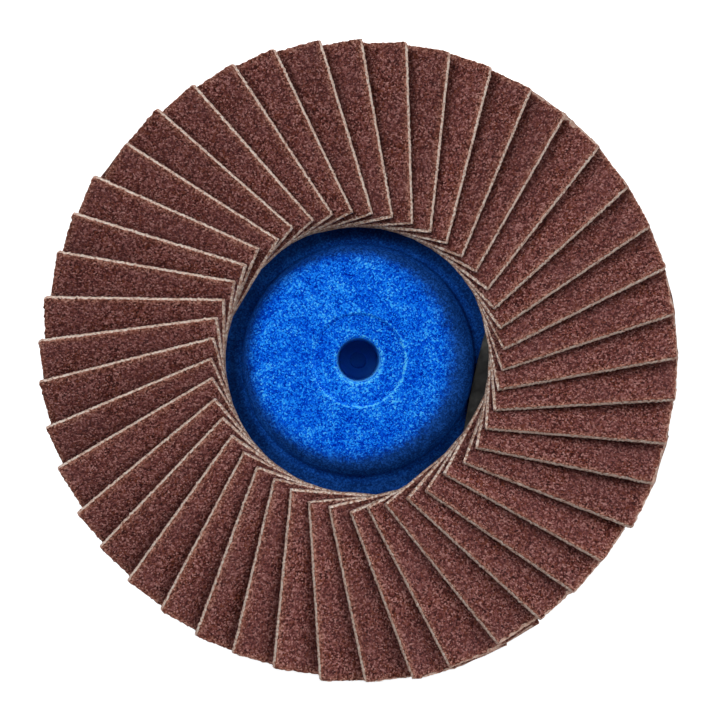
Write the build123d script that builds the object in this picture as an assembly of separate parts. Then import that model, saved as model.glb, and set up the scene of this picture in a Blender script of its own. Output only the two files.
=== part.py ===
from build123d import *
from math import asin, atan2, cos, hypot, radians, sin, sqrt
import os

# Flap disc, 75 mm, quick-change type R: 45 flaps of coated abrasive cloth fanned round a moulded
# plastic backing plate and bonded in a ring of resin.
#
# Frame, in millimetres: Z is the disc's own axis, Z = 0 is the plate's rear seat, +Z is the abrasive
# face. Clock angles are in degrees, clockwise from +Y as seen from +Z, and so is the flaps' numbering.

# ---- flaps: driving dimensions ----
disc_diameter = 75.0  # over the flaps' outer trailing corners
flap_count = 45
flap_width = 12.8  # across the cloth, from the tucked edge to the free edge
flap_thickness = 0.85  # cloth with its grain
free_edge_offset = 6.97  # free edge to the radial line that it runs parallel to
flap_root_clearance = 1.87  # from the boss's wall out to the flaps' inner ends
root_gap = 0.065  # between neighbours at their inner ends
tip_gap = 1.5  # between neighbours at their outer ends, where they fan open
tip_lift = 0.5  # how much higher a flap's tucked edge lies at its outer end

# ---- flaps: how evenly they were laid ----
first_flap_angle = 6.95
laying_drift = 1.05  # furthest that the laying runs ahead of or behind an even pitch
drift_peak_angle = 195.0
slipped_flaps = {  # flap number: (turned late, skewed clockwise, slipped outward), degrees and mm
    1: (0.15, 0.0, 0.0),
    2: (0.0, 0.4, 0.0),
    3: (0.0, 0.6, 0.0),
    4: (-0.3, 0.0, 0.0),
    6: (0.4, 1.2, 0.0),
    7: (0.4, 1.2, 0.0),
    8: (0.45, 0.6, 0.0),
    9: (0.55, 1.0, -0.15),
    10: (0.3, 1.0, -0.3),
    11: (0.0, 0.0, -0.25),
    12: (-0.1, 0.0, -0.3),
    13: (-0.3, -1.2, -0.25),
    15: (-0.25, 0.0, -0.6),
    16: (0.1, -3.0, -0.6),
    17: (-0.2, -3.0, -0.65),
    18: (0.5, -3.0, -0.65),
    19: (1.3, -0.4, 0.0),
    20: (0.2, -0.6, 0.5),
    21: (0.4, 0.0, 0.3),
    22: (0.4, 0.0, 0.4),
    23: (0.6, 1.0, 0.0),
    24: (0.35, 1.0, 0.0),
    25: (0.1, 0.0, 0.0),
    26: (-0.2, 0.0, 0.0),
    27: (-0.2, 0.0, 0.0),
    28: (-0.3, 0.0, 0.0),
    29: (-0.65, -0.8, 0.0),
    31: (-0.35, 0.0, 0.0),
    32: (0.0, 0.4, 0.0),
    33: (-0.25, -0.4, 0.0),
    34: (-0.35, 0.0, 0.0),
    35: (0.15, 0.4, 0.0),
    36: (-0.1, 0.0, 0.0),
    37: (-0.1, -0.8, 0.15),
    38: (-0.1, 0.0, -0.3),
    39: (0.2, 0.6, 0.2),
    40: (0.25, 0.0, 0.0),
    41: (0.35, 0.0, 0.1),
    42: (0.25, 0.0, 0.15),
    43: (0.45, 0.6, 0.15),
    45: (0.2, 0.0, 0.0),
}

# ---- backing plate: driving dimensions ----
plate_setback = 6.5  # from the disc's outline in to the plate's rim
plate_thickness = 2.5  # at the hub
rim_thickness = 1.5
rear_seat_radius = 15.0
rim_chamfer = 0.4
boss_radius = 13.8
boss_height = 3.0  # above the face that the flaps stand on
boss_shoulder_radius = 2.4
recess_floor_radius = 5.3
recess_wall_run = 0.35  # how far the recess's sloping wall leans outward
recess_depth = 0.2
core_mouth_radius = 2.6
core_end_radius = 2.3
core_floor = 2.5  # plastic left between the cored hole and the stud's end
core_mouth_chamfer = 0.25
pip_radius = 1.0
pip_depth = 0.7

# ---- threaded stud, moulded with the plate ----
stud_length = 7.0
stud_major_radius = 5.5
stud_root_radius = 4.2
stud_chamfer = 0.5
thread_pitch = 3.5
thread_end_land = 1.3  # from the middle of the ridge to the rear seat, and to the stud's end
thread_root_width = 2.0
thread_crest_width = 1.1
thread_bite = 0.3  # how far the ridge's section runs into the core
relief_width = 0.8  # ring round the stud's root, outside the thread
relief_depth = 0.3

# ---- resin bed ----
bed_inner_setback = 0.53  # from the flaps' inner ends out to the bed's inner wall
bed_outer_setback = 4.0  # from the plate's rim in to the bed's outer wall
bed_height = 0.9
flap_sink = 0.5  # depth of the tucked edges in the resin, at their inner ends
bead_angle = 102.0  # clock angle of the bead squeezed out inward
bead_clearance = 0.06  # from the boss's wall, at the bead's middle
bead_half_span = 29.0  # degrees, from its middle to where it meets the bed's inner wall
bead_overlap = 0.4  # into the bed

# ---- worked out from the above ----
pitch_angle = 360.0 / flap_count
plate_radius = disc_diameter / 2 - plate_setback
bed_top = plate_thickness + bed_height
boss_top = plate_thickness + boss_height


def tilt_at(reach, gap):
    """Tilt, in radians, at which flaps one pitch apart clear each other by a vertical gap."""
    step = reach * radians(pitch_angle)
    return atan2(gap, step) + asin(flap_thickness / hypot(step, gap))


def outer_reach():
    """Distance from the axis to a flap's outer end, along its radial line."""
    return sqrt((disc_diameter / 2) ** 2 - free_edge_offset**2)


tip_reach = outer_reach()
root_reach = boss_radius + flap_root_clearance
flap_length = tip_reach - root_reach
bed_inner_radius = root_reach + bed_inner_setback
bed_outer_radius = plate_radius - bed_outer_setback
root_tilt = tilt_at(root_reach, root_gap)
tip_tilt = tilt_at(tip_reach, tip_gap)
tucked_edge_height = bed_top - flap_sink


def between(root_value, tip_value, reach):
    """Straight-line value between the flap's inner and outer ends."""
    share = (reach - root_reach) / flap_length
    return root_value + share * (tip_value - root_value)


def turned(reach, offset, angle):
    """A plan point turned clockwise about the axis; offset is clockwise of the radial line."""
    a = radians(angle)
    return reach * cos(a) - offset * sin(a), reach * sin(a) + offset * cos(a)


def underside_height(reach, offset):
    """Height of the twisted sheet that a flap's underside lies in."""
    run = flap_width * between(cos(root_tilt), cos(tip_tilt), reach)
    rise = flap_width * between(sin(root_tilt), sin(tip_tilt), reach)
    low_edge = tucked_edge_height + between(0, tip_lift, reach)
    return low_edge + (offset - free_edge_offset + run) * rise / run


def flap_angle(number):
    """Clock angle of a flap's radial line, with the drift of the laying."""
    even_angle = first_flap_angle + (number - 1) * pitch_angle
    return even_angle + laying_drift * cos(radians(even_angle - drift_peak_angle))


def flap_end(number, reach, tilt):
    """Section of a flap at one end: a thin rectangle standing on its two underside corners."""
    late, skew, slip = slipped_flaps.get(number, (0.0, 0.0, 0.0))
    middle_reach = (root_reach + tip_reach) / 2
    corners = []
    for offset in (free_edge_offset - flap_width * cos(tilt), free_edge_offset):
        along, across = turned(reach - middle_reach, offset, skew)
        along, across = turned(along + middle_reach + slip, across, late)
        height = underside_height(along, across)
        north, east = turned(along, across, flap_angle(number))
        corners.append(Vector(east, north, height))
    tucked, free = corners
    radial = Vector(0, 1, 0).rotate(Axis.Z, -flap_angle(number) - late - skew)
    upward = (free - tucked).cross(radial).normalized() * flap_thickness
    if upward.Z < 0:
        upward = -upward
    return make_face(Polyline(tucked, free, free + upward, tucked + upward, close=True))


def flap(number):
    """One flap: straight edges, twisted from a steep root to a flatter tip."""
    root = flap_end(number, root_reach, root_tilt)
    tip = flap_end(number, tip_reach, tip_tilt)
    return loft([root, tip], ruled=True)


def stud_thread():
    """The stud's coarse right-hand ridge, with a blunt start and finish."""
    travel = stud_length - 2 * thread_end_land
    start_height = thread_end_land - stud_length
    flank = (thread_root_width - thread_crest_width) / 2 / (stud_major_radius - stud_root_radius)
    half_crest = thread_crest_width / 2
    half_buried = thread_root_width / 2 + thread_bite * flank
    buried_radius = stud_root_radius - thread_bite
    outline = Polyline(
        (buried_radius, -half_buried),
        (stud_major_radius, -half_crest),
        (stud_major_radius, half_crest),
        (buried_radius, half_buried),
        close=True,
    )
    section = Plane.XZ * Pos(0, start_height) * make_face(outline)
    path = Helix(thread_pitch, travel, stud_root_radius, center=(0, 0, start_height))
    return sweep(section, path=path, is_frenet=True)


def corners_of(profile, *places):
    """The profile's corners at these places."""
    return [profile.vertices().sort_by_distance(Vertex(*place))[0] for place in places]


def backing_plate():
    """Plate, front boss, cored hole and stud: one moulding, turned about the axis."""
    relief_radius = stud_major_radius + relief_width
    core_end = core_floor - stud_length
    recess_floor = boss_top - recess_depth
    rim_under = (plate_radius, plate_thickness - rim_thickness)
    rim_top = (plate_radius, plate_thickness)
    boss_shoulder = (boss_radius, boss_top)
    core_mouth = (core_mouth_radius, recess_floor)
    outline = Polyline(
        (0, -stud_length),
        (stud_root_radius - stud_chamfer, -stud_length),
        (stud_root_radius, stud_chamfer - stud_length),
        (stud_root_radius, relief_depth),
        (relief_radius, relief_depth),
        (relief_radius, 0),
        (rear_seat_radius, 0),
        rim_under,
        rim_top,
        (boss_radius, plate_thickness),
        boss_shoulder,
        (recess_floor_radius + recess_wall_run, boss_top),
        (recess_floor_radius, recess_floor),
        core_mouth,
        (core_end_radius, core_end),
        (pip_radius, core_end),
        (pip_radius, core_end - pip_depth),
        (0, core_end - pip_depth),
        close=True,
    )
    profile = make_face(outline)
    profile = fillet(corners_of(profile, boss_shoulder), boss_shoulder_radius)
    profile = chamfer(corners_of(profile, rim_under, rim_top), rim_chamfer)
    profile = chamfer(corners_of(profile, core_mouth), core_mouth_chamfer)
    return revolve(Plane.XZ * profile, Axis.Z) + stud_thread()


def along_bead(start_reach, middle_reach, end_reach):
    """Plan points at the bead's start, middle and end, each at its own distance from the axis."""
    reaches = (start_reach, middle_reach, end_reach)
    turns = (-bead_half_span, 0, bead_half_span)
    clock_points = [turned(reach, 0, bead_angle + turn) for reach, turn in zip(reaches, turns)]
    return [Vector(east, north) for north, east in clock_points]


def resin_bed(flaps):
    """Cured ring under the flaps, grooved by their tucked edges, with its squeezed-out bead."""
    ring = Circle(bed_outer_radius) - Circle(bed_inner_radius)
    buried = bed_inner_radius + bead_overlap
    # The bead's inner outline is an arc through its nose and through both of its ends.
    inner_arc = along_bead(bed_inner_radius, boss_radius + bead_clearance, bed_inner_radius)
    outer_arc = along_bead(buried, buried, buried)
    sides = [Line(inner_arc[0], outer_arc[0]), Line(inner_arc[2], outer_arc[2])]
    bead = make_face([ThreePointArc(*inner_arc), ThreePointArc(*outer_arc), *sides])
    bed = Pos(0, 0, plate_thickness) * extrude(ring + bead, bed_height)
    for one_flap in flaps:
        bed = bed - one_flap
    return bed


def build():
    """Every separate piece of the disc, by name."""
    flaps = {f"flap_{number:02d}": flap(number) for number in range(1, flap_count + 1)}
    pieces = {"backing_plate": backing_plate(), "resin_bed": resin_bed(flaps.values())}
    pieces.update(flaps)
    return pieces


os.makedirs("parts", exist_ok=True)
for name, piece in build().items():
    export_step(piece, f"parts/{name}.step")
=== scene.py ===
import math
import random
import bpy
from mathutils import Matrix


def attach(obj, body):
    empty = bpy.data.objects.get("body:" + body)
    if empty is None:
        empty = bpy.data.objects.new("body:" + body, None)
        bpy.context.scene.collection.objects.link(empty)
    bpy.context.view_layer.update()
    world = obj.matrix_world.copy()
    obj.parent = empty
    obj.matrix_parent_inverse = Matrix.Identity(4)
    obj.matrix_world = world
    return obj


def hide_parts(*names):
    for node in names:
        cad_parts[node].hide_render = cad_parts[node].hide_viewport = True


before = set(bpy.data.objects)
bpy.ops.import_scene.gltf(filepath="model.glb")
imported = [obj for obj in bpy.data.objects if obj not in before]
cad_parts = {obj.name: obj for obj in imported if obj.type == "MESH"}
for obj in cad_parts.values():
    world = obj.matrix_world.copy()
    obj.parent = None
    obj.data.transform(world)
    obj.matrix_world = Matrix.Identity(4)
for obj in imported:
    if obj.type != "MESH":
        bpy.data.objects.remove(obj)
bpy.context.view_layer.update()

from types import SimpleNamespace

import bmesh
import bpy
from mathutils import Vector, noise

# Flap disc: the looks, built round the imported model. Lengths are in millimetres unless a comment says
# otherwise, and become metres as a piece is finished. Z is the disc's axis, +Z is the abrasive face, and
# the flaps are numbered clockwise from +Y, seen from that face.

MM = 0.001
SAME_PLACE = 1e-6


# ---------------------------------------------------------------- shader helpers


def srgb(red, green, blue):
    """A colour from screen values of 0 to 255."""
    channels = [value / 255 for value in (red, green, blue)]
    return tuple(
        c / 12.92 if c <= 0.04045 else ((c + 0.055) / 1.055) ** 2.4 for c in channels
    ) + (1.0,)


def add(tree, kind, sockets=None, **settings):
    """A shader node. A socket's value is a number or colour, or another node's output."""
    node = tree.nodes.new("ShaderNode" + kind)
    for name, value in settings.items():
        setattr(node, name, value)
    for name, value in (sockets or {}).items():
        if isinstance(value, bpy.types.NodeSocket):
            tree.links.new(value, node.inputs[name])
        else:
            node.inputs[name].default_value = value
    return node


def maths(tree, operation, first, second=0.0):
    """The result of a Math node."""
    return add(tree, "Math", {0: first, 1: second}, operation=operation).outputs[0]


def plus(tree, first, second):
    """The sum of two values."""
    return maths(tree, "ADD", first, second)


def less(tree, first, second):
    """The first value less the second."""
    return maths(tree, "SUBTRACT", first, second)


def times(tree, first, second):
    """The product of two values."""
    return maths(tree, "MULTIPLY", first, second)


def larger(tree, first, second):
    """The larger of two values."""
    return maths(tree, "MAXIMUM", first, second)


def length_of(tree, x, y):
    """The distance that steps of x and y make together."""
    return maths(tree, "SQRT", plus(tree, times(tree, x, x), times(tree, y, y)))


def spread(tree, value, old, new=(0.0, 1.0)):
    """Carries a value from its old range to a new one, held at both ends."""
    sockets = {
        "Value": value,
        "From Min": old[0],
        "From Max": old[1],
        "To Min": new[0],
        "To Max": new[1],
    }
    return add(tree, "MapRange", sockets).outputs["Result"]


def crest(tree, value, place, width):
    """1 where a value is at one place, falling to 0 a width away from it."""
    away = maths(tree, "ABSOLUTE", less(tree, value, place))
    return spread(tree, away, (0.0, width), (1.0, 0.0))


def ramp(tree, factor, stops):
    """The colour that a ramp of (place, colour) stops has at the factor."""
    node = add(tree, "ValToRGB", {"Fac": factor})
    elements = node.color_ramp.elements
    while len(elements) < len(stops):
        elements.new(0.5)
    for element, (place, colour) in zip(elements, stops):
        element.position = place
        element.color = colour
    return node.outputs["Color"]


def blend_colours(tree, factor, first, second):
    """The first colour, giving way to the second as the factor goes from 0 to 1."""
    node = add(tree, "Mix", data_type="RGBA")
    factor_socket, first_socket, second_socket, colour_result = 0, 6, 7, 2
    for index, value in ((factor_socket, factor), (first_socket, first), (second_socket, second)):
        if isinstance(value, bpy.types.NodeSocket):
            tree.links.new(value, node.inputs[index])
        else:
            node.inputs[index].default_value = value
    return node.outputs[colour_result]


def noise_value(tree, place, scale, detail, roughness=0.5):
    """Smooth random values from 0 to 1; the scale is in waves to the metre."""
    sockets = {"Vector": place, "Scale": scale, "Detail": detail, "Roughness": roughness}
    return add(tree, "TexNoise", sockets).outputs["Fac"]


def random_cells(tree, place, scale):
    """How far a place is from its cell's middle, and three random values, each even over a cell."""
    cells = add(tree, "TexVoronoi", {"Vector": place, "Scale": scale})
    draws = add(tree, "SeparateColor", {"Color": cells.outputs["Color"]})
    return cells.outputs["Distance"], draws.outputs


def own_attribute(tree, name):
    """A value that a piece's own mesh carries."""
    return add(tree, "Attribute", attribute_name=name).outputs["Fac"]


def object_place(tree):
    """The Object coordinates, in metres."""
    return add(tree, "TexCoord").outputs["Object"]


def cloth_place(tree):
    """The place on the flat flap, in metres from its tucked inner corner."""
    return add(tree, "UVMap", uv_map="cloth").outputs["UV"]


def raise_surface(tree, shader, relief, strength, distance):
    """Puts fine relief on the surface; the distance is in millimetres."""
    bump = add(tree, "Bump", {"Height": relief, "Strength": strength, "Distance": distance * MM})
    tree.links.new(bump.outputs[0], shader.inputs["Normal"])


def new_material(name):
    """An empty material with its one shader in place."""
    material = bpy.data.materials.new(name)
    material.use_nodes = True
    tree = material.node_tree
    tree.nodes.clear()
    shader = add(tree, "BsdfPrincipled")
    output = add(tree, "OutputMaterial", {"Surface": shader.outputs[0]})
    output.is_active_output = True
    return material, tree, shader


# ---------------------------------------------------------------- the flaps' sizes

FLAP_COUNT = 45
CLOTH_WIDTH = 12.8
CLOTH_LENGTH = 21.2
CLOTH_THICKNESS = 0.85
COAT_THICKNESS = 0.2
YARN_PITCH = 0.45

# How far the painted shade under the flap above reaches out from its free edge.
PAINTED_SHADE_REACH = 1.15

# How far the grain is chipped back from the outer end of the flaps that are worn most.
CHIPPED_ENDS = {4: 0.22, 5: 0.42, 16: 0.2, 17: 0.3, 18: 0.45, 19: 0.4, 20: 0.3, 21: 0.2}


# ---------------------------------------------------------------- materials


def grain_look(tree, place, shade, rust, fine):
    """The grain's colour: rust, paler patches, a rust rim, and painted shade under the flap above."""
    mixed = plus(tree, times(tree, shade, 0.55), times(tree, fine, 0.45))
    grain = ramp(
        tree,
        mixed,
        [
            (0.2, srgb(35, 8, 6)),
            (0.37, srgb(77, 32, 27)),
            (0.5, srgb(113, 60, 56)),
            (0.63, srgb(145, 91, 87)),
            (0.8, srgb(196, 145, 138)),
        ],
    )
    rusty = spread(tree, rust, (0.72, 0.95), (0.0, 0.75))
    grain = blend_colours(tree, rusty, grain, srgb(122, 62, 38))
    patches = spread(tree, noise_value(tree, place, scale=230.0, detail=3.0), (0.35, 0.7), (0.0, 0.35))
    grain = blend_colours(tree, patches, grain, srgb(114, 70, 72))

    rim_colour = ramp(
        tree,
        mixed,
        [(0.25, srgb(84, 38, 28)), (0.5, srgb(160, 98, 80)), (0.75, srgb(214, 162, 138))],
    )
    rim = maths(tree, "POWER", own_attribute(tree, "rim"), 1.9)
    rim = times(tree, rim, spread(tree, fine, (0.3, 0.7), (0.5, 1.0)))
    grain = blend_colours(tree, rim, grain, rim_colour)

    lift = spread(tree, own_attribute(tree, "tone"), (0.0, 1.0), (0.88, 1.12))
    # Painted shade: the grain darkens to 0.7 where the flap above overhangs it.
    lift = times(tree, lift, spread(tree, own_attribute(tree, "painted_shade"), (0.0, 1.0), (1.0, 0.7)))
    return add(tree, "HueSaturation", {"Color": grain, "Value": lift}).outputs["Color"]


def cut_cotton(tree, place):
    """Pale yarn ends, stained brown by the resin at the root and dusty at the tip."""
    threads = noise_value(tree, place, scale=3000.0, detail=2.0, roughness=0.6)
    cotton = ramp(
        tree,
        threads,
        [(0.3, srgb(146, 96, 78)), (0.44, srgb(238, 204, 186)), (0.58, srgb(254, 240, 228))],
    )
    along = add(tree, "SeparateXYZ", {"Vector": cloth_place(tree)}).outputs["X"]
    near_root = spread(tree, along, (0.1 * MM, 1.2 * MM), (0.75, 0.0))
    stained = times(tree, near_root, spread(tree, threads, (0.35, 0.65), (1.0, 0.1)))
    cotton = blend_colours(tree, stained, cotton, srgb(168, 120, 98))
    near_tip = (CLOTH_LENGTH - 1.0) * MM, (CLOTH_LENGTH - 0.4) * MM
    dusty = spread(tree, along, near_tip, (0.0, 0.6))
    return blend_colours(tree, dusty, cotton, srgb(196, 150, 132))


def abrasive_cloth():
    """Reddish brown grain in its size coat, worn back at the cut edges to the pale cotton under it."""
    material, tree, shader = new_material("abrasive_grain_on_cotton")
    place = object_place(tree)
    from_middle, (shade, rust, gloss) = random_cells(tree, place, scale=5600.0)
    fine = noise_value(tree, place, scale=4300.0, detail=3.0, roughness=0.7)
    grain = grain_look(tree, place, shade, rust, fine)
    cotton = cut_cotton(tree, place)

    # The attribute gives how much coat is left, and the fine noise makes the coat's border ragged.
    ragged = plus(tree, own_attribute(tree, "coat"), times(tree, less(tree, fine, 0.5), 0.7))
    covered = spread(tree, ragged, (0.42, 0.58))
    tree.links.new(blend_colours(tree, covered, cotton, grain), shader.inputs["Base Color"])

    shader.inputs["Specular IOR Level"].default_value = 0.12
    tree.links.new(spread(tree, gloss, (0.0, 1.0), (0.6, 0.95)), shader.inputs["Roughness"])
    relief = less(tree, fine, times(tree, from_middle, 0.8))
    raise_surface(tree, shader, relief, strength=1.0, distance=0.2)
    return material


def yarns(tree, place, direction, scale):
    """Bands of yarn across one direction of the cloth."""
    sockets = {"Vector": place, "Scale": scale, "Distortion": 0.6, "Detail": 1.0}
    bands = add(tree, "TexWave", sockets, wave_type="BANDS", bands_direction=direction)
    return bands.outputs["Fac"]


def cloth_back():
    """The flap's woven underside, sized with a brown resin."""
    material, tree, shader = new_material("sized_cotton_twill")
    flat = cloth_place(tree)
    weave = larger(tree, yarns(tree, flat, "X", 560.0), yarns(tree, flat, "Y", 480.0))
    stain = noise_value(tree, object_place(tree), scale=160.0, detail=4.0)
    colour = ramp(
        tree,
        weave,
        [(0.0, srgb(96, 66, 50)), (0.55, srgb(150, 112, 88)), (1.0, srgb(188, 152, 124))],
    )
    stained = spread(tree, stain, (0.4, 0.75), (0.0, 0.5))
    tree.links.new(blend_colours(tree, stained, colour, srgb(120, 82, 62)), shader.inputs["Base Color"])
    shader.inputs["Specular IOR Level"].default_value = 0.3
    tree.links.new(spread(tree, stain, (0.3, 0.7), (0.7, 0.9)), shader.inputs["Roughness"])
    raise_surface(tree, shader, weave, strength=0.7, distance=0.1)
    return material


def blue_plastic():
    """Moulded blue plastic: a frosted, glittering boss face, a well in painted shade, smooth deep blue
    elsewhere.
    """
    material, tree, shader = new_material("moulded_blue_plastic")
    place = object_place(tree)
    split = add(tree, "SeparateXYZ", {"Vector": place})
    x, y, height = (split.outputs[axis] for axis in "XYZ")
    radius = length_of(tree, x, y)

    # The frosting sits off the axis, towards the light: painted highlight on the lit side. Its border
    # wanders.
    from_painted_light_centre = length_of(tree, plus(tree, x, 1.0 * MM), less(tree, y, 0.5 * MM))
    cloud = noise_value(tree, place, scale=1300.0, detail=4.0, roughness=0.75)
    wander = times(tree, less(tree, cloud, 0.5), 3.0 * MM)
    from_painted_light_centre = plus(tree, from_painted_light_centre, wander)

    # The front and the hole are frosted or in painted shade and light; the rim, the back and the stud are
    # smooth.
    within_hole = spread(tree, radius, (2.9 * MM, 3.2 * MM), (1.0, 0.0))
    in_bore = times(tree, within_hole, spread(tree, height, (-6.2 * MM, -5.9 * MM)))
    front = larger(tree, spread(tree, height, (0.6 * MM, 1.0 * MM)), in_bore)
    frosted = times(tree, spread(tree, from_painted_light_centre, (10.8 * MM, 12.8 * MM), (1.0, 0.0)), front)
    face_high = spread(tree, height, (4.0 * MM, 4.8 * MM))
    under_flaps = spread(tree, from_painted_light_centre, (16.5 * MM, 18.0 * MM))
    smooth = larger(tree, under_flaps, times(tree, less(tree, 1.0, face_high), frosted))
    smooth = larger(tree, smooth, less(tree, 1.0, front))

    # Fine glitter on broad clouds, and more of it on the moulded lips, on the side that faces the light.
    _, (sparkle, *_) = random_cells(tree, place, scale=6200.0)
    fine = noise_value(tree, place, scale=4000.0, detail=3.0, roughness=0.7)
    broad = noise_value(tree, place, scale=380.0, detail=3.0)
    mixed = plus(tree, times(tree, sparkle, 0.5), times(tree, fine, 0.5))
    mixed = plus(tree, mixed, times(tree, less(tree, broad, 0.5), 0.5))
    recess_lip = crest(tree, radius, 5.6 * MM, 0.24 * MM)
    hole_lip = crest(tree, radius, 2.8 * MM, 0.4 * MM)
    lit_side = spread(tree, less(tree, x, y), (-5.0 * MM, 6.0 * MM), (0.04, 0.34))
    mixed = plus(tree, mixed, times(tree, larger(tree, recess_lip, hole_lip), lit_side))

    glitter = ramp(
        tree,
        mixed,
        [
            (0.17, srgb(0, 28, 148)),
            (0.38, srgb(2, 68, 203)),
            (0.54, srgb(9, 102, 234)),
            (0.7, srgb(32, 148, 252)),
            (0.86, srgb(92, 198, 255)),
        ],
    )

    def three_blues(dark, middle, light):
        return ramp(tree, mixed, [(0.2, srgb(*dark)), (0.5, srgb(*middle)), (0.8, srgb(*light))])

    # Painted shade darkens the well round the boss; painted light lifts the boss's wall and foot out of
    # that shade.
    well_painted_shade = three_blues((10, 40, 94), (16, 57, 125), (30, 84, 170))
    boss_wall_painted_light = three_blues((8, 42, 110), (13, 64, 152), (30, 96, 196))
    boss_foot_painted_light = three_blues((12, 58, 142), (20, 88, 200), (44, 128, 246))
    border_painted_shade = three_blues((2, 36, 124), (9, 64, 172), (30, 114, 228))

    above_floor = spread(tree, height, (2.5 * MM, 2.7 * MM))
    painted_light_on_wall = times(tree, above_floor, spread(tree, height, (3.6 * MM, 4.8 * MM), (1.0, 0.0)))
    colour = blend_colours(tree, painted_light_on_wall, well_painted_shade, boss_wall_painted_light)
    painted_light_at_foot = times(tree, crest(tree, radius, 14.05 * MM, 0.9 * MM), 0.85)
    colour = blend_colours(tree, painted_light_at_foot, colour, boss_foot_painted_light)
    # The frosting's border fades into the well through painted shade.
    colour = blend_colours(tree, spread(tree, frosted, (0.0, 0.55)), colour, border_painted_shade)
    colour = blend_colours(tree, spread(tree, frosted, (0.35, 1.0)), colour, glitter)

    plain = ramp(tree, broad, [(0.3, srgb(6, 64, 168)), (0.7, srgb(14, 80, 190))])
    # Painted light in the hole: lighter on its low-y side, which faces the light, darker on the far side.
    painted_light_across_hole = spread(tree, y, (-2.0 * MM, 2.0 * MM))
    bore_painted_light = ramp(tree, painted_light_across_hole, [(0.1, srgb(86, 184, 255)), (0.9, srgb(34, 108, 172))])
    colour = blend_colours(tree, smooth, colour, blend_colours(tree, frosted, plain, bore_painted_light))
    tree.links.new(colour, shader.inputs["Base Color"])

    tree.links.new(times(tree, smooth, 0.3), shader.inputs["Specular IOR Level"])
    tree.links.new(spread(tree, frosted, (0.0, 1.0), (0.42, 0.58)), shader.inputs["Roughness"])
    raise_surface(tree, shader, times(tree, fine, frosted), strength=0.35, distance=0.08)
    return material


def cured_resin():
    """Dark grey filled epoxy with a lumpy, slightly glossy skin."""
    material, tree, shader = new_material("cured_grey_resin")
    cloud = noise_value(tree, object_place(tree), scale=700.0, detail=4.0, roughness=0.6)
    colour = ramp(
        tree,
        cloud,
        [(0.3, srgb(34, 35, 36)), (0.55, srgb(52, 53, 52)), (0.8, srgb(84, 83, 78))],
    )
    tree.links.new(colour, shader.inputs["Base Color"])
    tree.links.new(spread(tree, cloud, (0.3, 0.7), (0.3, 0.5)), shader.inputs["Roughness"])
    raise_surface(tree, shader, cloud, strength=0.5, distance=0.3)
    return material


def white_ground():
    """Matt white that shows as plain white to the camera, and from below lets the view through."""
    material, tree, shader = new_material("white_ground")
    shader.inputs["Base Color"].default_value = srgb(240, 240, 240)
    shader.inputs["Roughness"].default_value = 0.9
    shader.inputs["Specular IOR Level"].default_value = 0.1
    rays = add(tree, "LightPath")
    seen = larger(tree, rays.outputs["Is Camera Ray"], rays.outputs["Is Glossy Ray"])
    glow = add(tree, "Emission", {"Strength": times(tree, seen, 0.75)})
    lit = add(tree, "AddShader", {0: shader.outputs[0], 1: glow.outputs[0]})
    from_below = add(tree, "NewGeometry").outputs["Backfacing"]
    clear = add(tree, "BsdfTransparent")
    either = add(tree, "MixShader", {0: from_below, 1: lit.outputs[0], 2: clear.outputs[0]})
    output = next(node for node in tree.nodes if node.type == "OUTPUT_MATERIAL")
    tree.links.new(either.outputs[0], output.inputs["Surface"])
    return material


# ---------------------------------------------------------------- flaps


def flap_corners(node):
    """The eight corners of a CAD flap, in metres, by (end, side, face): 0 or 1 each."""
    bm = bmesh.new()
    bm.from_mesh(node.data)
    bmesh.ops.remove_doubles(bm, verts=bm.verts, dist=SAME_PLACE)
    sharp = {edge for edge in bm.edges if edge.is_manifold and edge.calc_face_angle() > 1.0}
    found = [v.co.copy() for v in bm.verts if sum(edge in sharp for edge in v.link_edges) == 3]
    bm.free()
    found.sort(key=lambda co: co.xy.length)
    middle = sum((co.xy.normalized() for co in found), Vector((0, 0)))
    clockwise = Vector((middle.y, -middle.x))
    corners = {}
    for end, four in enumerate((found[:4], found[4:])):
        four.sort(key=lambda co: co.xy.dot(clockwise))
        for side, two in enumerate((four[:2], four[2:])):
            for face, co in enumerate(sorted(two, key=lambda co: co.z)):
                corners[end, side, face] = co
    return corners


def laid_in_place(corners, along, across, height):
    """Where a point of the flat flap lies once it is twisted into its place."""
    u, v, w = along / CLOTH_LENGTH, across / CLOTH_WIDTH, height / CLOTH_THICKNESS
    place = Vector()
    for (end, side, face), corner in corners.items():
        share = (u if end else 1 - u) * (v if side else 1 - v) * (w if face else 1 - w)
        place += share * corner
    return place


def painted_shade_amount(place, over_edge):
    """1 under or beside the flap above, where shade is painted on the grain, and 0 in the open."""
    start, end = (corner.xy for corner in over_edge)
    outward = (end - start).normalized()
    clear = (place.xy - start).dot(Vector((outward.y, -outward.x)))
    return min(1.0, max(0.0, 1 - clear / (PAINTED_SHADE_REACH * MM)))


def steps(total, near_start, near_end, middle):
    """Places from 0 to total: fine steps near both ends and even ones between."""
    start, end = [0.0], [total]
    for step in near_start:
        start.append(start[-1] + step)
    for step in near_end:
        end.append(end[-1] - step)
    count = max(1, round((end[-1] - start[-1]) / middle))
    between = [start[-1] + (end[-1] - start[-1]) * i / count for i in range(1, count)]
    return start + between + end[::-1]


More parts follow.
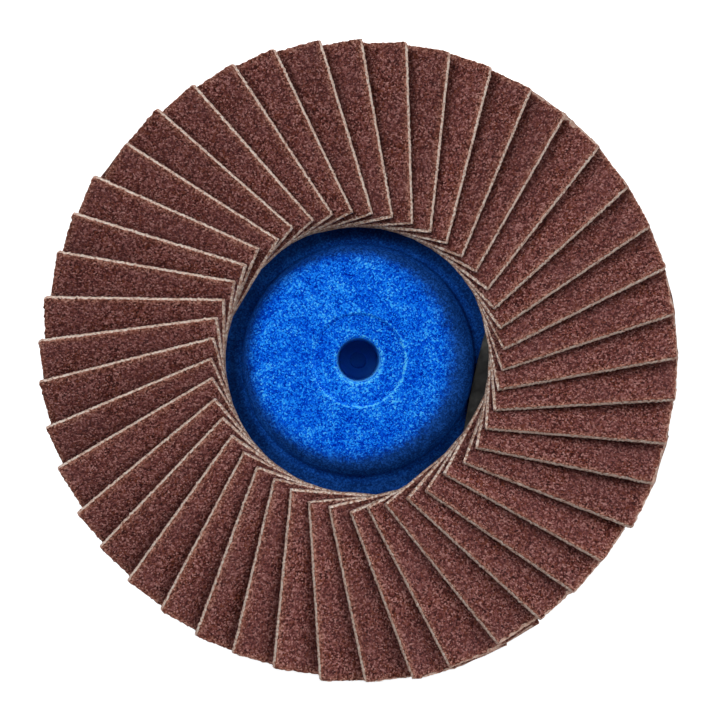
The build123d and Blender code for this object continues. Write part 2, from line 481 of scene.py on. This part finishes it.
# The top's grid: rows along the flap from its root, and columns across it from its tucked edge. The part
# that the flap above hides has few columns, and the cut edges have fine ones.
ROOT_STEPS = [0.06, 0.08, 0.1, 0.12]
TIP_STEPS = [0.05, 0.07, 0.09, 0.11, 0.13]
EDGE_STEPS = [0.05, 0.05, 0.05, 0.06, 0.07, 0.09, 0.12, 0.15]
ROWS = steps(CLOTH_LENGTH, ROOT_STEPS, TIP_STEPS, middle=0.15)
HIDDEN_COLUMNS = [0.0, 0.3, 1.5, 3.2, 4.9, 6.3]
SHOWN_FROM = 6.9
INWARD_FROM_EDGE = steps(CLOTH_WIDTH - SHOWN_FROM, EDGE_STEPS, [], middle=0.2)
COLUMNS = HIDDEN_COLUMNS + [CLOTH_WIDTH - place for place in INWARD_FROM_EDGE][::-1]

# The heights of the cut sides' bands: the coat's foot, half the cloth, and the underside.
BAND_HEIGHTS = (0.64, 0.34, 0.0)

# Heights that part the flat flap's top from the coat's foot, and the foot from the bands under it.
TOP_FROM, COAT_FOOT_FROM = 0.8, 0.6
COAT_AT_FOOT = 0.45


def flat_flap(bm):
    """The flap laid flat: a fine top, cut sides in three bands, and a plain underside."""
    bmesh.ops.create_grid(bm, x_segments=len(ROWS) - 1, y_segments=len(COLUMNS) - 1, size=0.5)
    for vert in bm.verts:
        row = ROWS[round((vert.co.x + 0.5) * (len(ROWS) - 1))]
        column = COLUMNS[round((vert.co.y + 0.5) * (len(COLUMNS) - 1))]
        vert.co = (row, column, CLOTH_THICKNESS)

    edges = [edge for edge in bm.edges if edge.is_boundary]
    for height in BAND_HEIGHTS:
        made = bmesh.ops.extrude_edge_only(bm, edges=edges)["geom"]
        for item in made:
            if isinstance(item, bmesh.types.BMVert):
                item.co.z = height
        edges = [edge for edge in bm.edges if edge.is_boundary]

    # Straight rungs from side to side close the underside, and a cap closes each end of it.
    rails = [
        edge
        for edge in edges
        if abs(edge.verts[0].co.y - edge.verts[1].co.y) < SAME_PLACE
        and min(v.co.x for v in edge.verts) > SAME_PLACE
        and max(v.co.x for v in edge.verts) < CLOTH_LENGTH - SAME_PLACE
    ]
    bmesh.ops.bridge_loops(bm, edges=rails)
    bmesh.ops.holes_fill(bm, edges=[edge for edge in bm.edges if edge.is_boundary], sides=0)
    bmesh.ops.recalc_face_normals(bm, faces=bm.faces)


def waves(spot, *layers):
    """Smooth random waves added up; each layer is its waves to the millimetre and its size."""
    return sum(noise.noise(spot * scale) * size for scale, size in layers)


def line_waves(distance, flap, row):
    """Smooth random waves from -1 to 1 along one line; the flap and the row keep the lines apart."""
    return noise.noise(Vector((distance, flap, row)))


# Flap n lies this share of a pitch short of n pitches clockwise from +Y.
FLAP_SHIFT = 0.13

# Clock angles, in degrees: most wear and least painted rim highlight, and where outer ends stand out and
# slant.
WORN_AND_DIM_EDGE_CLOCK, STAND_OUT_CLOCK, SLANT_CLOCK = 110, 60, 95


def nearness(clock, degrees):
    """1 at a clock angle, falling to -1 on the far side of the disc."""
    return math.cos(clock - math.radians(degrees))


def flap_wear(number, draw):
    """How one flap was trimmed and worn."""
    tone = 0.5 + draw.uniform(-0.5, 0.5) * 0.6
    edge_setback = draw.uniform(-0.12, -0.04)
    root_setback = draw.uniform(0.13, 0.26)
    clock = math.radians(360 / FLAP_COUNT * (number - FLAP_SHIFT))
    worn_and_dim_edge_side = max(0.0, nearness(clock, WORN_AND_DIM_EDGE_CLOCK))
    usual_setback = draw.uniform(0.0, 0.06) + 0.16 * worn_and_dim_edge_side
    return SimpleNamespace(
        number=number,
        seed=Vector((number * 17.3, number * 5.1, 0.0)),
        tone=tone,
        edge_setback=edge_setback,
        root_setback=root_setback,
        tip_setback=CHIPPED_ENDS.get(number, usual_setback),
        rim_and_highlight_reach=1.05 - 0.38 * worn_and_dim_edge_side,
        # Rust rim; its extra width where the free edges face the light is painted highlight.
        # The outer ends were trimmed together, a little out of square and out of true.
        trim_shift=0.02 + 0.16 * nearness(clock, STAND_OUT_CLOCK) + draw.uniform(-0.07, 0.07),
        trim_slant=0.088 + 0.069 * nearness(clock, SLANT_CLOCK) + draw.uniform(-0.02, 0.02),
        tip_corner=draw.uniform(0.12, 0.4),
        root_corner=draw.uniform(0.1, 0.25),
    )


# How far in from the tip and the root the rust-brown rim reaches.
RUSTY_TIP, RUSTY_ROOT = 1.1, 0.8

# How far in from each cut edge its wear and trimming reach.
FRAY_REACH, TIP_REACH, ROOT_REACH, TRIM_REACH = 0.22, 0.45, 0.3, 3
TRIM_PIVOT, TRIM_LIMIT = 0.7, 6.0

# Over how much of the edge the coat thins out to nothing.
EDGE_FADE, END_FADE = 0.1, 0.12

# Rows that keep the random lines apart: yarns and fibres on the free edge, the tip's line and its fibres,
# and the root's line.
YARN_ROW, FIBRE_ROW, TIP_ROW, TIP_FIBRE_ROW, ROOT_ROW = 6.0, 8.0, 2.0, 5.0, 11.0


def coat_left(wear, spot, from_edge, from_root, from_tip):
    """How much of the coat is left at a spot of the top: 1 all of it, and 0 bare cotton."""
    chips = waves(spot, (2.3, 0.09), (6.5, 0.09))
    uneven_tip = wear.tip_setback * (0.6 + noise.noise(spot * 0.9))
    worn = min(
        (from_edge - wear.edge_setback - chips) / EDGE_FADE,
        (from_root - wear.root_setback - chips) / END_FADE,
        (from_tip - uneven_tip - chips * 1.3 + 0.06) / END_FADE,
    )
    return min(1.0, max(0.0, worn))


def top_height(spot, coat):
    """The height of the top: lumpy grain where the coat is left, and the cotton where it isn't."""
    grain = waves(spot, (2.6, 0.6), (5.5, 0.4))
    cotton = CLOTH_THICKNESS - COAT_THICKNESS - 0.05
    return cotton + (COAT_THICKNESS - 0.02) * coat + 0.1 * grain * (0.4 + 0.6 * coat)


def yarn_ends(wear, along, height):
    """How far the cut yarns stand out from the free edge; half way down, the cloth bulges a little."""
    number = wear.number
    uneven = noise.noise(wear.seed + Vector((along * 0.4, 0, 3)))
    yarn = along / YARN_PITCH + number * 0.37 + uneven
    reach_out = 0.06 + 0.14 * line_waves(math.floor(yarn) * 7.1, number * 1.9, YARN_ROW)
    fibres = 0.05 * line_waves(along * 4.4, number, FIBRE_ROW)
    fray = reach_out * math.sin(math.pi * yarn) ** 2 + fibres
    bulge = 0.04 if 0.1 < height < 0.5 else 0.0
    return fray - 0.06 + bulge


def worn_outline(wear, along, across, height):
    """Where a point of the flat flap goes once the cut edges are frayed, rounded and trimmed."""
    number = wear.number
    from_edge, from_root, from_tip = CLOTH_WIDTH - across, along, CLOTH_LENGTH - along
    near_edge = max(0.0, 1 - from_edge / FRAY_REACH)
    if near_edge:
        across += near_edge * yarn_ends(wear, along, height)
    for beyond, side, radius in ((from_tip, 1, wear.tip_corner), (from_root, -1, wear.root_corner)):
        if max(beyond, from_edge) < radius:
            u, v = radius - beyond, radius - from_edge
            short = 1 - max(u, v) / math.hypot(u, v)
            along -= side * u * short
            across -= v * short
    near_tip = max(0.0, 1 - from_tip / TIP_REACH)
    if near_tip:
        ragged = line_waves(across * 1.4, number * 3.0, TIP_ROW) * 0.13
        ragged += line_waves(across * 4.2, number, TIP_FIBRE_ROW) * 0.12
        along += near_tip * (ragged - 0.04)
    if from_tip < TRIM_REACH:
        slant = wear.trim_slant * (min(from_edge, TRIM_LIMIT) - TRIM_PIVOT)
        along += (1 - from_tip / TRIM_REACH) * (wear.trim_shift + slant)
    near_root = max(0.0, 1 - from_root / ROOT_REACH)
    if near_root:
        along -= near_root * line_waves(across * 3.0, number, ROOT_ROW) * 0.08
    return along, across


def flap_mesh(number, corners, over_edge, draw):
    """One flap, modelled flat with its grain, chipped edges and yarn ends, then laid in its place."""
    bm = bmesh.new()
    coat_layer = bm.verts.layers.float.new("coat")
    rim_layer = bm.verts.layers.float.new("rim")
    tone_layer = bm.verts.layers.float.new("tone")
    painted_shade_layer = bm.verts.layers.float.new("painted_shade")
    uv_layer = bm.loops.layers.uv.new("cloth")
    flat_flap(bm)

    front, back = 0, 1
    for face in bm.faces:
        face.smooth = True
        underside = face.calc_center_median().z < SAME_PLACE
        face.material_index = back if underside else front
        for loop in face.loops:
            loop[uv_layer].uv = (loop.vert.co.x * MM, loop.vert.co.y * MM)

    wear = flap_wear(number, draw)
    for vert in bm.verts:
        along, across, height = vert.co
        from_edge, from_root, from_tip = CLOTH_WIDTH - across, along, CLOTH_LENGTH - along
        spot = Vector((along, across, 0.0)) + wear.seed
        coat = 0.0
        if height > TOP_FROM:
            coat = coat_left(wear, spot, from_edge, from_root, from_tip)
            height = top_height(spot, coat)
        elif height > COAT_FOOT_FROM:
            coat = COAT_AT_FOOT
        rim = max(
            0.0,
            1 - from_edge / wear.rim_and_highlight_reach,
            1 - from_tip / RUSTY_TIP,
            1 - from_root / RUSTY_ROOT,
        )
        vert[coat_layer] = coat
        vert[rim_layer] = rim
        vert[tone_layer] = wear.tone
        along, across = worn_outline(wear, along, across, height)
        vert.co = laid_in_place(corners, along, across, height)
        # How much painted shade the flap above puts on this point.
        vert[painted_shade_layer] = painted_shade_amount(vert.co, over_edge)

    mesh = bpy.data.meshes.new(f"abrasive_flap_{number:02d}")
    bm.to_mesh(mesh)
    bm.free()
    return mesh


def make_flaps():
    """Every flap, each with painted shade under the free edge of the one before it."""
    face, back = abrasive_cloth(), cloth_back()
    numbers = range(1, FLAP_COUNT + 1)
    all_corners = {number: flap_corners(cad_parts[f"flap_{number:02d}"]) for number in numbers}
    for number in numbers:
        node = f"flap_{number:02d}"
        above = all_corners[number - 1 or FLAP_COUNT]
        over_edge = above[0, 1, 1], above[1, 1, 1]
        mesh = flap_mesh(number, all_corners[number], over_edge, random.Random(number))
        mesh.materials.append(face)
        mesh.materials.append(back)
        piece = bpy.data.objects.new(f"abrasive_flap_{number:02d}", mesh)
        bpy.context.scene.collection.objects.link(piece)
        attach(piece, "root")
        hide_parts(node)


# ---------------------------------------------------------------- backing plate

# The plate's half section, from the hole's floor over the front, the rim and the back to the stud's end:
# reach from the axis, height, and the radius that rounds the corner.
PLATE_SECTION = [
    (0.0, -5.2, 0.0),
    (1.0, -5.2, 0.1),
    (1.0, -4.5, 0.1),
    (2.3, -4.5, 0.2),
    (2.6, 4.95, 0.0),
    (2.87, 5.22, 0.08),
    (5.28, 5.22, 0.08),
    (5.6, 5.54, 0.1),
    (6.2, 5.5, 0.5),
    (13.8, 5.5, 2.3),
    (13.8, 2.5, 0.65),
    (30.6, 2.5, 0.15),
    (31.0, 2.1, 0.15),
    (31.0, 1.4, 0.15),
    (30.6, 0.975, 0.15),
    (15.0, 0.0, 0.4),
    (6.3, 0.0, 0.08),
    (6.3, 0.3, 0.06),
    (4.2, 0.3, 0.1),
    (4.2, -6.5, 0.1),
    (3.7, -7.0, 0.1),
    (0.0, -7.0, 0.0),
]
BROAD_RADIUS = 1.0
BROAD_SEGMENTS, FINE_SEGMENTS = 12, 3
PLATE_STEPS = 144

# The stud's ridge: its section as reach and height, from below its root to above it, and how it climbs.
RIDGE_SECTION = [
    (4.0, -1.07),
    (5.38, -0.6),
    (5.47, -0.55),
    (5.5, -0.45),
    (5.5, 0.45),
    (5.47, 0.55),
    (5.38, 0.6),
    (4.0, 1.07),
]
RIDGE_START, RIDGE_TRAVEL, RIDGE_PITCH = -5.7, 4.4, 3.5
RIDGE_STEPS = 120


def wind_thread(bm):
    """The coarse ridge, wound up the stud from a blunt start to a blunt finish."""
    corners = [
        bm.verts.new((reach * MM, 0.0, (RIDGE_START + height) * MM)) for reach, height in RIDGE_SECTION
    ]
    section = bm.faces.new(corners)
    bmesh.ops.spin(
        bm,
        geom=[section, *section.verts, *section.edges],
        cent=(0, 0, 0),
        axis=(0, 0, 1),
        dvec=(0, 0, RIDGE_TRAVEL * MM / RIDGE_STEPS),
        angle=2 * math.pi * (RIDGE_TRAVEL / RIDGE_PITCH),
        steps=RIDGE_STEPS,
    )


def round_corners(bm, corners):
    """Rounds each corner of the section to its radius."""
    for corner, (_, _, radius) in zip(corners, PLATE_SECTION):
        if radius:
            one, two = [edge.other_vert(corner).co - corner.co for edge in corner.link_edges]
            bmesh.ops.bevel(
                bm,
                geom=[corner],
                offset=radius * MM / math.tan(one.angle(two) / 2),
                offset_type="OFFSET",
                segments=BROAD_SEGMENTS if radius > BROAD_RADIUS else FINE_SEGMENTS,
                profile=0.5,
                affect="VERTICES",
                material=-1,
            )


def make_plate(material):
    """The plate, its boss and its stud, turned in one piece."""
    bm = bmesh.new()
    corners = [bm.verts.new((reach * MM, 0.0, height * MM)) for reach, height, _ in PLATE_SECTION]
    for first, second in zip(corners, corners[1:]):
        bm.edges.new((first, second))
    round_corners(bm, corners)
    bmesh.ops.spin(
        bm,
        geom=bm.verts[:] + bm.edges[:],
        cent=(0, 0, 0),
        axis=(0, 0, 1),
        angle=2 * math.pi,
        steps=PLATE_STEPS,
        use_merge=True,
    )
    bmesh.ops.remove_doubles(bm, verts=bm.verts, dist=SAME_PLACE)
    wind_thread(bm)
    bmesh.ops.recalc_face_normals(bm, faces=bm.faces)
    for face in bm.faces:
        face.smooth = True
    mesh = bpy.data.meshes.new("plate_and_stud")
    bm.to_mesh(mesh)
    bm.free()
    mesh.materials.append(material)
    piece = bpy.data.objects.new("plate_and_stud", mesh)
    bpy.context.scene.collection.objects.link(piece)
    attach(piece, "root")
    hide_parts("backing_plate")


# ---------------------------------------------------------------- camera, light and ground

FRAME_SIDE = 720
PIXELS_PER_MM = 8.57
CAMERA_SENSOR = 36.0
CAMERA_OFFSET = 0.2 * MM
CAMERA_HEIGHT = 0.282  # metres above the flaps' free edges
EDGE_HEIGHT = 8.7 * MM
STUD_END = -7.0 * MM
GROUND_RADIUS = 0.5  # metres
LAMP_DISTANCE = 0.85  # metres
SKY_LIGHT, SKY_SEEN = 0.005, 1.0


def make_camera():
    """The camera looks straight down on the abrasive face."""
    data = bpy.data.cameras.new("camera")
    data.sensor_width = CAMERA_SENSOR
    data.lens = PIXELS_PER_MM / MM * CAMERA_HEIGHT * data.sensor_width / FRAME_SIDE
    camera = bpy.data.objects.new("camera", data)
    camera.location = (CAMERA_OFFSET, 0.0, EDGE_HEIGHT + CAMERA_HEIGHT)
    bpy.context.scene.collection.objects.link(camera)
    bpy.context.scene.camera = camera


def soft_lamp(name, azimuth, elevation, size, power):
    """A square soft light that faces the disc; azimuth is in degrees clockwise from +Y, size in metres."""
    data = bpy.data.lights.new(name, "AREA")
    data.shape = "SQUARE"
    data.size = size
    data.energy = power
    lamp = bpy.data.objects.new(name, data)
    turn, tilt = math.radians(azimuth), math.radians(elevation)
    away = Vector((math.sin(turn) * math.cos(tilt), math.cos(turn) * math.cos(tilt), math.sin(tilt)))
    lamp.location = away * LAMP_DISTANCE
    lamp.rotation_mode = "QUATERNION"
    lamp.rotation_quaternion = away.to_track_quat("Z", "Y")
    bpy.context.scene.collection.objects.link(lamp)


def make_ground():
    """A plain white floor under the stud's end."""
    mesh = bpy.data.meshes.new("ground")
    bm = bmesh.new()
    bmesh.ops.create_circle(bm, cap_ends=True, radius=GROUND_RADIUS, segments=64)
    bmesh.ops.translate(bm, verts=bm.verts, vec=(0, 0, STUD_END))
    bm.to_mesh(mesh)
    bm.free()
    mesh.materials.append(white_ground())
    ground = bpy.data.objects.new("ground", mesh)
    bpy.context.scene.collection.objects.link(ground)


def make_sky():
    """White where the camera sees it, and almost no light of its own."""
    world = bpy.data.worlds.new("studio")
    bpy.context.scene.world = world
    world.use_nodes = True
    tree = world.node_tree
    tree.nodes.clear()
    rays = add(tree, "LightPath")
    seen = larger(tree, rays.outputs["Is Camera Ray"], rays.outputs["Is Transmission Ray"])
    strength = spread(tree, seen, (0.0, 1.0), (SKY_LIGHT, SKY_SEEN))
    sky = add(tree, "Background", {"Color": (1, 1, 1, 1), "Strength": strength})
    add(tree, "OutputWorld", {"Surface": sky.outputs[0]})


bpy.context.scene.view_settings.view_transform = "Standard"
make_camera()
make_ground()
make_sky()
soft_lamp("key", azimuth=-48, elevation=46, size=0.65, power=5.5)
soft_lamp("side", azimuth=63, elevation=34, size=0.8, power=5.6)
soft_lamp("low_fill", azimuth=160, elevation=24, size=0.7, power=2.2)
make_flaps()
make_plate(blue_plastic())
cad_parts["resin_bed"].material_slots[0].material = cured_resin()
